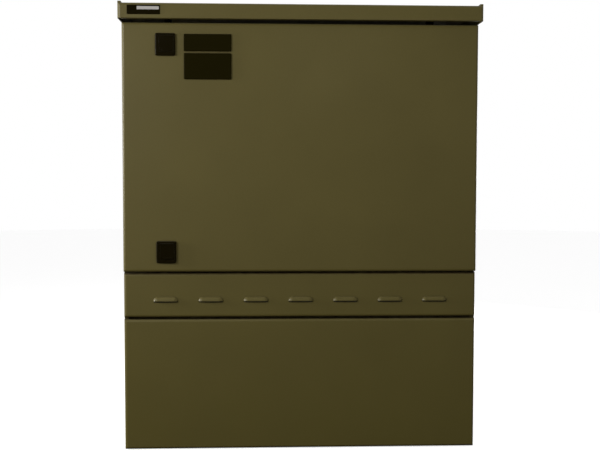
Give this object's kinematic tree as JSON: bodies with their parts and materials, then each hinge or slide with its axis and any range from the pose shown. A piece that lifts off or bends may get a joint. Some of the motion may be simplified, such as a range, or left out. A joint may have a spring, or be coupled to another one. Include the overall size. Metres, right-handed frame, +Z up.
{
  "type": "roadside utility cabinet",
  "caption": "Olive steel street cabinet with a rain roof, a right-hung door with cam locks and dust flaps, a louvred vent panel and a removable plinth cover.",
  "frame": {"origin": "middle of the footprint on the ground, bottom centre of the overall box", "axes": "+Z up, the door faces -Y, +X is to the right as seen from the front"},
  "size_m": [0.795, 0.3634, 0.989],
  "materials": {
    "olive_paint": "satin",
    "galvanised_steel": "satin",
    "zinc_steel": "satin",
    "black_plastic": "gloss",
    "dark_plate": "satin",
    "rubber": "matte",
    "brass": "satin"
  },
  "bodies": {
    "housing": {"base_frame": "galvanised_steel", "left_side_panel": "olive_paint", "right_side_panel": "olive_paint", "rear_panel": "olive_paint", "top_plate": "olive_paint", "header_rail": "olive_paint", "sill_rail": "olive_paint", "cross_rail": "olive_paint", "clamp_rail": "galvanised_steel", "floor_plate": "galvanised_steel", "gland_plate": "galvanised_steel", "cable_grommets": "rubber", "vent_panel": "olive_paint", "insect_screen": "galvanised_steel", "plinth_cover": "olive_paint", "panel_bolts": "zinc_steel", "panel_nuts": "zinc_steel", "rain_roof": "olive_paint", "roof_spacers": "black_plastic", "roof_nuts": "zinc_steel", "roof_badge": "dark_plate", "mounting_plate": "galvanised_steel", "mount_standoffs": "zinc_steel", "mount_nuts": "zinc_steel", "upper_device_rail": "galvanised_steel", "lower_device_rail": "galvanised_steel", "earth_bar": "brass", "earth_insulators": "black_plastic", "earth_screws": "zinc_steel", "upper_hinge_arm": "zinc_steel", "lower_hinge_arm": "zinc_steel", "upper_hinge_pin": "zinc_steel", "lower_hinge_pin": "zinc_steel"},
    "door": {"door_panel": "olive_paint", "door_gasket": "rubber", "door_stiffeners": "olive_paint", "door_earth_stud": "zinc_steel", "upper_plate": "dark_plate", "lower_plate": "dark_plate", "upper_hinge_leaf": "zinc_steel", "lower_hinge_leaf": "zinc_steel", "upper_lock_body": "black_plastic", "upper_lock_nut": "zinc_steel", "lower_lock_body": "black_plastic", "lower_lock_nut": "zinc_steel"},
    "upper_latch": {"upper_lock_spindle": "zinc_steel", "upper_lock_cam": "zinc_steel", "upper_cam_screw": "zinc_steel"},
    "upper_flap": {"upper_lock_flap": "black_plastic"},
    "lower_latch": {"lower_lock_spindle": "zinc_steel", "lower_lock_cam": "zinc_steel", "lower_cam_screw": "zinc_steel"},
    "lower_flap": {"lower_lock_flap": "black_plastic"}
  },
  "joints": [
    {"name": "door_swing", "type": "hinge", "parent": "housing", "child": "door", "pos_m": [0.3845, -0.14225, 0.674], "axis": [0, 0, 1], "range_deg": [0, 115]},
    {"name": "upper_latch_turn", "type": "hinge", "parent": "door", "child": "upper_latch", "pos_m": [-0.297, -0.15525, 0.899], "axis": [0, 1, 0], "range_deg": [0, 90]},
    {"name": "upper_flap_lift", "type": "hinge", "parent": "door", "child": "upper_flap", "pos_m": [-0.297, -0.16125, 0.9167], "axis": [-1, 0, 0], "range_deg": [0, 105]},
    {"name": "lower_latch_turn", "type": "hinge", "parent": "door", "child": "lower_latch", "pos_m": [-0.297, -0.15525, 0.445], "axis": [0, -1, 0], "range_deg": [0, 90]},
    {"name": "lower_flap_lift", "type": "hinge", "parent": "door", "child": "lower_flap", "pos_m": [-0.297, -0.16125, 0.4627], "axis": [-1, 0, 0], "range_deg": [0, 105]}
  ]
}
